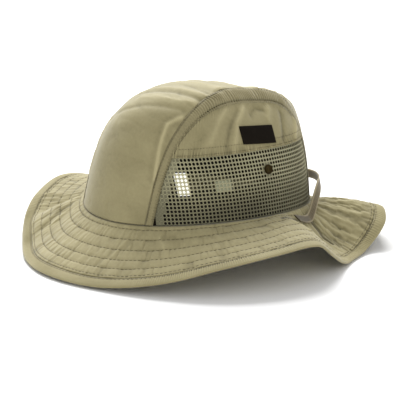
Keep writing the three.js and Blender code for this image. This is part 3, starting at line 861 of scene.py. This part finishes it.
def brim_hem(material):
    steps, sides = HEM_GRID
    turn = np.arange(steps)[:, None] * 360 / steps
    t = 2 * np.pi * np.arange(sides)[None, :] / sides
    half = HEM_WIDTH / 2
    # An oval section, steep at the stitched edge
    reach = np.sign(np.cos(t)) * np.abs(np.cos(t)) ** 0.8
    steep = np.where(np.cos(t) < 0, 0.5, 0.95)
    rise = np.sign(np.sin(t)) * np.abs(np.sin(t)) ** steep
    distance = PANEL_WIDTH + half + np.where(reach < 0, half + SEWN_GAP, half) * reach + 0 * turn
    turn = turn + 0 * t
    point, normal = on_brim(turn, distance)
    along = turn / 360 * HEM_AROUND
    drift = noise(along / 36, distance / 12, 41, HEM_AROUND // 36)
    calm = 0.6 + 0.4 * noise(along / 52, 3.0, 42, HEM_AROUND // 52)
    ruffle = np.sin(2 * np.pi * (along / HEM_RUFFLE + 0.6 * drift + distance / 16))
    strength = calm * (0.25 + 0.45 * pucker_strength(turn)) * smooth(BRIM_WIDTH - distance, 0.4, 3)
    stitched = bump(distance - HEM_ROWS[1], 0.5)
    lift = (rise - 1) * HEM_WALL / 2 + 0.3 + np.where(rise > 0, strength * ruffle * 0.7 - 0.3 * stitched, 0)
    outer = point + normal * lift[..., None]
    outer[..., 2] = np.maximum(outer[..., 2], 0)
    i, j = np.meshgrid(np.arange(steps), np.arange(sides), indexing="ij")
    a, b = i * sides + j, (i + 1) % steps * sides + j
    c, d = (i + 1) % steps * sides + (j + 1) % sides, i * sides + (j + 1) % sides
    faces = np.stack([a, b, c, d], axis=-1).reshape(-1, 4)
    # Painted light and shade on the ruffles, and painted shade in the groove at the brim's seam and along
    # the stitched row
    shade = 0.5 * strength * ruffle - 0.25 * bump(distance - PANEL_WIDTH, 0.6) - 0.2 * stitched
    return add_piece("brim_hem_cloth", outer, faces, material, shade)


# Sweatband, strap, tags, label and snaps


def ring_wall(heights, inset, steps):
    turn = np.arange(steps)[:, None] * 360 / steps
    angle, z = turn + 0 * heights[None, :], 0 * turn + heights[None, :]
    point = ring_point(angle, np.maximum(z, 0), inset)
    point[..., 2] = z
    up = np.clip(z / CROWN_HEIGHT, 0, 1)
    return point + points_of(0, 0, SEAM_HEIGHT + seam_wave(angle_of(point)) * (1 - up))


def sweatband(material):
    steps, rows = SWEATBAND_GRID
    heights = np.linspace(0, SWEATBAND_HEIGHT + SWEATBAND_LOOSE, rows) - SWEATBAND_BELOW
    # Its loose top edge leans inwards, clear of the tags
    lean = 1.6 * smooth(heights, SWEATBAND_HEIGHT - 8, SWEATBAND_HEIGHT - 3)
    outside = CLOTH_WALL + SEWN_GAP + lean[None, :]
    outer = ring_wall(heights, outside, steps)
    inner = ring_wall(heights, outside + SWEATBAND_WALL, steps)
    return add_wall("sweatband_cloth", outer, inner, material, ring=True)


def strap_frame(turn):
    lift = np.maximum(0, column(STRAP_SECTIONS, "lift", folded(turn)))
    upright = np.maximum(0, column(STRAP_SECTIONS, "twist", folded(turn)))
    along = BRIM_WIDTH / brim_reach(turn)
    near = brim_point(turn, (STRAP_STAND - STRAP_WIDTH / 3) * along)
    far = brim_point(turn, (STRAP_STAND + STRAP_WIDTH / 3) * along)
    slope = np.arctan2(near[..., 2] - far[..., 2], np.hypot(*np.moveaxis((near - far)[..., :2], -1, 0)))
    seated = (near[..., 2] + far[..., 2]) / 2 + (SEWN_GAP + STRAP_WALL / 2) / np.cos(slope)
    normal = seam_normal(turn)
    angle = np.radians(turn)
    x = HALF_WIDTH * np.sin(angle) + normal[..., 0] * STRAP_STAND
    y = -HALF_LENGTH * np.cos(angle) + normal[..., 1] * STRAP_STAND
    middle = points_of(x, y, mix(seated, SEAM_HEIGHT + STRAP_RISE, lift))
    return middle, normal, mix(slope, np.pi / 2, upright)


def back_strap(material):
    root = STRAP_SECTIONS["angle"][0]
    s, q = grid(*STRAP_GRID)
    middle, normal, twist = strap_frame(mix(root, 360 - root, s) + 0 * q)
    edge = np.abs(2 * q - 1)
    ribs = 0.12 * np.sin(s * 2 * np.pi * 150) * (edge < 0.72) * (1 - edge)
    selvedge = 0.12 * bump(edge - 0.86, 0.1)
    faces = []
    for side in (1, -1):
        half = (q - 0.5) * STRAP_WIDTH
        deep = side * (STRAP_WALL / 2 + ribs + selvedge - 0.3 * edge**8)
        out = half * np.cos(twist) + deep * np.sin(twist)
        up = deep * np.cos(twist) - half * np.sin(twist)
        faces.append(middle + points_of(normal[..., 0] * out, normal[..., 1] * out, up))
    rooted = 1 - smooth(np.minimum(s, 1 - s), 0.02, 0.09)
    # The light selvedges and darker ribbed middle are the tape's own colour; the ribs' crests get painted
    # light, and the tape is darker towards both ends
    shade = 0.2 * bump(edge - 0.9, 0.12) - 0.35 * (edge < 0.6) + ribs - 0.45 * rooted
    return add_wall("back_strap_tape", faces[0], faces[1], material, shade=shade)


def patch(name, spec, inset, material):
    """A small flat piece that follows the left side of the crown."""
    tilt = math.radians(spec["tilt"])
    s, q = grid(*PATCH_GRID)
    along = (s - 0.5) * spec["length"]
    up = (q - 0.5) * spec["height"]
    y = spec["along"] + along * math.cos(tilt) - up * math.sin(tilt)
    z = spec["up"] + along * math.sin(tilt) + up * math.cos(tilt)
    point, normal = facing(lambda a, b: settle(side_point(a, b, inset)), y, z, 0.4, 0.4, CROWN_CORE)
    edge = np.maximum(np.abs(2 * s - 1) ** 14, np.abs(2 * q - 1) ** 10)
    relief = 0.12 * noise(s * 5, q * 3, 51) - 0.25 * edge
    outer = point + normal * relief[..., None]
    inner = point - normal * spec["wall"]
    return add_wall(name, outer, inner, material)


def lathe(name, profile, sides, place, normal, material):
    """A round piece whose profile (radius, height) closes on its own axis, with a lighter upright stripe
    across its face.
    """
    turn = 2 * np.pi * np.arange(sides) / sides
    aside = unit(np.cross(normal, [0, 0, 1.0]))
    above = np.cross(aside, normal)
    rings = []
    for radius, height in profile:
        flat = np.cos(turn)[:, None] * aside + np.sin(turn)[:, None] * above
        rings.append(place + radius * flat + height * normal)
    points = np.concatenate(rings)
    faces = np.concatenate([ring_quads(k, k + 1, sides) for k in range(len(profile) - 1)])
    radii = np.array([radius for radius, _ in profile])[:, None]
    # A lighter upright stripe, only in the colour
    lighter_stripe = bump(radii * np.cos(turn) - 0.6, 0.35) * (radii < 2.3) * (radii > 0.3)
    return add_piece(name, points, faces, material, 1.4 * lighter_stripe)


def snap_cap(side, material):
    """A pressed cap: a rim round a dished face."""
    radius = SNAP["diameter"] / 2
    point, normal = facing(
        lambda a, b: settle(side_point(a, b, 0), side),
        np.array(float(SNAP["along"])), np.array(float(SNAP["up"])), 0.4, 0.4, CROWN_CORE,
    )
    point, normal = on_side(point, side), on_side(normal, side)
    top = SNAP["wall"]
    profile = [
        (0.02, 0.1), (radius - 0.2, 0.1), (radius, 0.35), (radius, top - 0.7), (radius - 0.25, top - 0.2),
        (radius - 0.7, top), (radius - 1.2, top - 0.15), (radius - 1.6, top - 0.6), (2.0, top - 0.6),
        (1.6, top - 0.55), (1.2, top - 0.5), (0.8, top - 0.5), (0.4, top - 0.5), (0.02, top - 0.5),
    ]
    return lathe(sided("snap_cap", side), profile, 48, point, normal, material)


# Stitching

STITCH_SIDES = 6


def walked_to(at, walked, values):
    """Points or normals of a run where a length has been walked along it."""
    return np.stack([np.interp(at, walked, values[:, k]) for k in range(3)], axis=-1)


def stitches(name, runs, pitch, length, radius, material):
    """Short raised threads along lines. A run is its points and the cloth's normals there."""
    points, count = [], 0
    shares = np.array([0, 0.16, 0.5, 0.84, 1])
    lifts = np.array([-1.1, 0.35, 0.55, 0.35, -1.1])
    sizes = np.array([0.35, 1, 1, 1, 0.35])
    for line, normals in runs:
        steps = np.linalg.norm(np.diff(line, axis=0), axis=1)
        walked = np.concatenate([[0], np.cumsum(steps)])
        amount = max(1, int(walked[-1] / pitch))
        starts = (np.arange(amount) + 0.1) * walked[-1] / amount
        at = starts[:, None] + shares[None, :] * length
        place, normal = walked_to(at, walked, line), unit(walked_to(at, walked, normals))
        ahead = unit(place[:, -1:] - place[:, :1])
        aside = unit(np.cross(ahead, normal))
        centre = place + normal * (lifts * radius)[None, :, None]
        turn = 2 * np.pi * np.arange(STITCH_SIDES) / STITCH_SIDES
        spread = np.cos(turn)[:, None] * aside[:, :, None, :]
        spread = spread + np.sin(turn)[:, None] * normal[:, :, None, :]
        thick = (sizes * radius)[None, :, None, None]
        points.append((centre[:, :, None, :] + spread * thick).reshape(-1, 3))
        count += amount
    one = [ring_quads(k, k + 1, STITCH_SIDES) for k in range(len(shares) - 1)]
    last = (len(shares) - 1) * STITCH_SIDES
    for base, turned in ((0, True), (last, False)):
        ends = np.array([[0, 1, 2, 3], [0, 3, 4, 5]]) + base
        one.append(ends[:, ::-1] if turned else ends)
    one = np.concatenate(one)
    each = len(shares) * STITCH_SIDES
    faces = (one[None] + np.arange(count)[:, None, None] * each).reshape(-1, 4)
    return add_piece(name, np.concatenate(points), faces, material)


def brim_run(distance):
    turn = np.append(np.linspace(0, 360, 1200, endpoint=False), 360.0)
    at = np.full(turn.shape, float(distance))
    point, normal = on_brim(turn, at)
    if distance < PANEL_WIDTH:
        hidden = 0.8 * smooth(pucker_strength(turn), 0.6, 0.9) * (distance < HEM_ROWS[0])
        relief = brim_relief(turn, at) - hidden
    else:
        relief = np.full(turn.shape, -0.3)
    return point + normal * (relief + STITCH_PROUD)[:, None], normal


def band_run(side, offset, from_inner):
    sweep = np.linspace(2, 178, 500)
    width = band_width(sweep)
    x = HALF_CENTRE - (width - offset if from_inner else offset)
    point, normal = facing(crown_surface(-BAND_PROUD, side), x, sweep, 0.5, 0.5, CROWN_CORE)
    point = point + normal * -0.25
    return on_side(point, side), on_side(normal, side)


def net_top_run(side, above):
    corner = np.array(NET_HEIGHT + 3.0)
    front, back = edge_back(corner, CLOTH_WALL, -1), edge_back(corner, CLOTH_WALL, 1)
    angle = np.linspace(front + 2, back - 2, 300)
    z = np.full(angle.shape, NET_HEIGHT + above)
    point, normal = facing(side_surface(0, side), angle, z, 0.4, 0.4, CROWN_CORE)
    point = point + normal * side_relief(angle, z, edge_height(angle, 0.0))[:, None]
    return on_side(point, side), on_side(normal, side)


# Materials


def node(tree, kind, values=None, **settings):
    made = tree.nodes.new(kind)
    for key, value in settings.items():
        setattr(made, key, value)
    for key, value in (values or {}).items():
        made.inputs[key].default_value = value
    return made


def scaled_noise(tree, place, scale, detail=3.0, roughness=0.55):
    made = node(tree, "ShaderNodeTexNoise", {"Scale": scale, "Detail": detail, "Roughness": roughness})
    tree.links.new(place.outputs["Object"], made.inputs["Vector"])
    return made.outputs["Fac"]


def math_of(tree, operation, a, b):
    made = node(tree, "ShaderNodeMath", operation=operation)
    for socket, value in ((made.inputs[0], a), (made.inputs[1], b)):
        if isinstance(value, (int, float)):
            socket.default_value = value
        else:
            tree.links.new(value, socket)
    return made.outputs[0]


def cloth(name, dark, light, roughness=0.75, sheen=0.25, crinkle=0.35, weave=2600,
          specular=0.35):
    """Woven cloth: its colour drifts between dark and light, and follows the shade painted on the piece."""
    material = bpy.data.materials.new(name)
    material.use_nodes = True
    tree = material.node_tree
    shader = tree.nodes["Principled BSDF"]
    place = node(tree, "ShaderNodeTexCoord")
    shade = node(tree, "ShaderNodeAttribute", attribute_name="shade", attribute_type="GEOMETRY")
    broad = scaled_noise(tree, place, 28, 4)
    fine = scaled_noise(tree, place, 420, 2)
    threads = scaled_noise(tree, place, weave, 2, 0.7)

    def times(value, factor):
        return math_of(tree, "MULTIPLY", value, factor)

    tone = math_of(tree, "ADD", times(broad, 0.55), times(fine, 0.25))
    tone = math_of(tree, "ADD", tone, times(threads, 0.2))
    tone = math_of(tree, "ADD", tone, shade.outputs["Fac"])
    ramp = node(tree, "ShaderNodeValToRGB")
    ramp.color_ramp.elements[0].position = 0.0
    ramp.color_ramp.elements[0].color = (*(0.45 * c for c in dark), 1)
    ramp.color_ramp.elements[1].position = 1.0
    ramp.color_ramp.elements[1].color = (*light, 1)
    ramp.color_ramp.elements.new(0.33).color = (*dark, 1)
    tree.links.new(tone, ramp.inputs["Fac"])
    colour = ramp.outputs["Color"]
    tree.links.new(colour, shader.inputs["Base Color"])
    wrinkles = scaled_noise(tree, place, 190, 4, 0.6)
    height = math_of(tree, "ADD", times(wrinkles, crinkle), times(threads, 0.12))
    relief = node(tree, "ShaderNodeBump", {"Strength": 0.55, "Distance": 0.0008})
    tree.links.new(height, relief.inputs["Height"])
    tree.links.new(relief.outputs["Normal"], shader.inputs["Normal"])
    shader.inputs["Roughness"].default_value = roughness
    shader.inputs["Sheen Weight"].default_value = sheen
    shader.inputs["Sheen Roughness"].default_value = 0.4
    shader.inputs["Specular IOR Level"].default_value = specular
    return material


MATT = {"sheen": 0.0, "specular": 0.06}
CROWN_CLOTH = cloth("crown_cloth", (0.27, 0.235, 0.118), (0.45, 0.395, 0.215))
BRIM_CLOTH = cloth("brim_cloth", (0.27, 0.235, 0.118), (0.46, 0.405, 0.22), crinkle=0.5)
# The band's cloth is the crown's cloth made darker: painted shade of the gathered band
SHADED_BAND_CLOTH = cloth("band_cloth", (0.22, 0.19, 0.095), (0.40, 0.35, 0.19))
NET_THREADS = cloth("net_threads", (0.33, 0.31, 0.185), (0.54, 0.51, 0.32), crinkle=0.1, sheen=0.1)
# The crown's inner faces are nearly black: painted shade for the inside of the crown
PAINTED_SHADE_INSIDE = cloth("painted_shade_inside", (0.012, 0.01, 0.006), (0.03, 0.026, 0.017), 0.95, **MATT)
DARK_CLOTH = cloth("sweatband_cloth", (0.008, 0.006, 0.004), (0.02, 0.016, 0.011), 0.95, **MATT)
# Painted glow of the white tag
PAINTED_TAG_GLOW = 0.5
BLACK_WEAVE = cloth("label_weave", (0.008, 0.006, 0.004), (0.018, 0.014, 0.01), 0.9, weave=1500, **MATT)
TAPE = cloth("tape", (0.21, 0.17, 0.10), (0.42, 0.36, 0.22), crinkle=0.15)
WHITE_RIBBON = cloth("white_ribbon", (0.85, 0.85, 0.83), (0.95, 0.95, 0.93), roughness=0.5, crinkle=0.1)
# The white tag glows: painted light, so that it stands bright inside the dark crown
painted_glow = WHITE_RIBBON.node_tree.nodes["Principled BSDF"].inputs
painted_glow["Emission Color"].default_value = (1, 1, 0.97, 1)
painted_glow["Emission Strength"].default_value = PAINTED_TAG_GLOW
GREY_RIBBON = cloth("grey_ribbon", (0.36, 0.38, 0.24), (0.48, 0.49, 0.33), roughness=0.6, crinkle=0.1)
THREAD = cloth("thread", (0.12, 0.10, 0.05), (0.20, 0.17, 0.09), crinkle=0.1, weave=4000, sheen=0.1)
LACQUER = cloth("snap_lacquer", (0.02, 0.013, 0.003), (0.055, 0.038, 0.01), roughness=0.6, sheen=0.0,
                crinkle=0.05, weave=900, specular=0.05)


# The camera comes first


def direction(azimuth_deg, elevation_deg):
    a, e = math.radians(azimuth_deg), math.radians(elevation_deg)
    return Vector((math.sin(a) * math.cos(e), -math.cos(a) * math.cos(e), math.sin(e)))


scene = bpy.context.scene
scene.view_settings.view_transform = "Standard"
target = Vector((float(MIDDLE[0]), float(MIDDLE[1]), SEAM_HEIGHT * MM))
toward = direction(CAMERA_AZIMUTH, CAMERA_ELEVATION)
right = direction(CAMERA_AZIMUTH + 90, 0)
above = toward.cross(right)
camera_data = bpy.data.cameras.new("camera")
camera_data.lens = CAMERA_LENS
camera = bpy.data.objects.new("camera", camera_data)
camera.location = target + toward * CAMERA_DISTANCE * MM
aim = target + right * CAMERA_AIM[0] * MM + above * CAMERA_AIM[1] * MM
camera.rotation_euler = (aim - camera.location).to_track_quat("-Z", "Y").to_euler()
scene.collection.objects.link(camera)
scene.camera = camera

# The pieces of the hat


def settle_in(piece, slot, *nodes):
    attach(piece, "root")
    if nodes:
        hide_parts(*nodes)
    return piece


settle_in(crown_panel(CROWN_CLOTH, PAINTED_SHADE_INSIDE), "crown_cloth", "crown_panel")
settle_in(brim_panel(BRIM_CLOTH), "brim_cloth", "brim")
settle_in(brim_hem(BRIM_CLOTH), "brim_cloth", "brim_hem")
settle_in(sweatband(DARK_CLOTH), "band_cloth", "sweatband")
settle_in(back_strap(TAPE), "tape", "back_strap")
for side in (1, -1):
    settle_in(seam_band(side, SHADED_BAND_CLOTH, PAINTED_SHADE_INSIDE), "crown_cloth", sided("seam_band", side))
    settle_in(side_panel(side, CROWN_CLOTH, PAINTED_SHADE_INSIDE), "crown_cloth", sided("side_panel", side))
    settle_in(net_window(side, NET_THREADS), "net", sided("net", side))
    settle_in(snap_cap(side, LACQUER), "snap_metal", sided("snap", side))
UNDER_NET = (CLOTH_WALL + NET_WALL) / 2 + SEWN_GAP
settle_in(patch("bare_label", LABEL, -SEWN_GAP - LABEL["wall"], BLACK_WEAVE), "label_cloth", "label")
settle_in(patch("white_tag", CARE_TAG, UNDER_NET, WHITE_RIBBON), "tag_white", "care_tag")
settle_in(patch("grey_tag", SIZE_TAG, UNDER_NET, GREY_RIBBON), "tag_grey", "size_tag")

brim_runs = [brim_run(row) for row in (*BRIM_ROWS, *HEM_ROWS)]
brim_thread = stitches("brim_stitches", brim_runs, pitch=3.6, length=2.5, radius=0.22, material=THREAD)
settle_in(brim_thread, "brim_cloth")
crown_runs = []
for side in (1, -1):
    crown_runs += [band_run(side, 1.0, True), band_run(side, 0.9, False)]
    crown_runs += [net_top_run(side, above) for above in NET_TOP_ROWS]
crown_thread = stitches("crown_stitches", crown_runs, pitch=2.6, length=1.9, radius=0.2, material=THREAD)
settle_in(crown_thread, "crown_cloth")


# Floor and lights, in metres and watts

FLOOR_HALF = 6.0
FLOOR_DROP = 0.0005
WORLD_STRENGTH = 0.7


def add_floor():
    half = FLOOR_HALF
    mesh = bpy.data.meshes.new("floor")
    corners = [(-half, -half, 0), (half, -half, 0), (half, half, 0), (-half, half, 0)]
    mesh.from_pydata(corners, [], [(0, 1, 2, 3)])
    material = bpy.data.materials.new("floor")
    material.use_nodes = True
    shader = material.node_tree.nodes["Principled BSDF"]
    shader.inputs["Base Color"].default_value = (0.9, 0.9, 0.9, 1)
    shader.inputs["Roughness"].default_value = 0.9
    mesh.materials.append(material)
    floor = bpy.data.objects.new("floor", mesh)
    floor.location.z = -FLOOR_DROP
    scene.collection.objects.link(floor)


def add_light(name, azimuth_deg, elevation_deg, distance, size, power):
    """A soft square light that looks at the hat."""
    data = bpy.data.lights.new(name, "AREA")
    data.size = size
    data.energy = power
    light = bpy.data.objects.new(name, data)
    light.location = distance * direction(azimuth_deg, elevation_deg)
    light.rotation_euler = (-light.location).to_track_quat("-Z", "Y").to_euler()
    scene.collection.objects.link(light)


add_floor()
add_light("key", azimuth_deg=-120, elevation_deg=50, distance=1.6, size=1.0, power=38)
add_light("fill", azimuth_deg=70, elevation_deg=30, distance=2.0, size=1.4, power=4)
world = bpy.data.worlds.new("studio")
world.use_nodes = True
world.node_tree.nodes["Background"].inputs["Color"].default_value = (1, 1, 1, 1)
world.node_tree.nodes["Background"].inputs["Strength"].default_value = WORLD_STRENGTH
scene.world = world
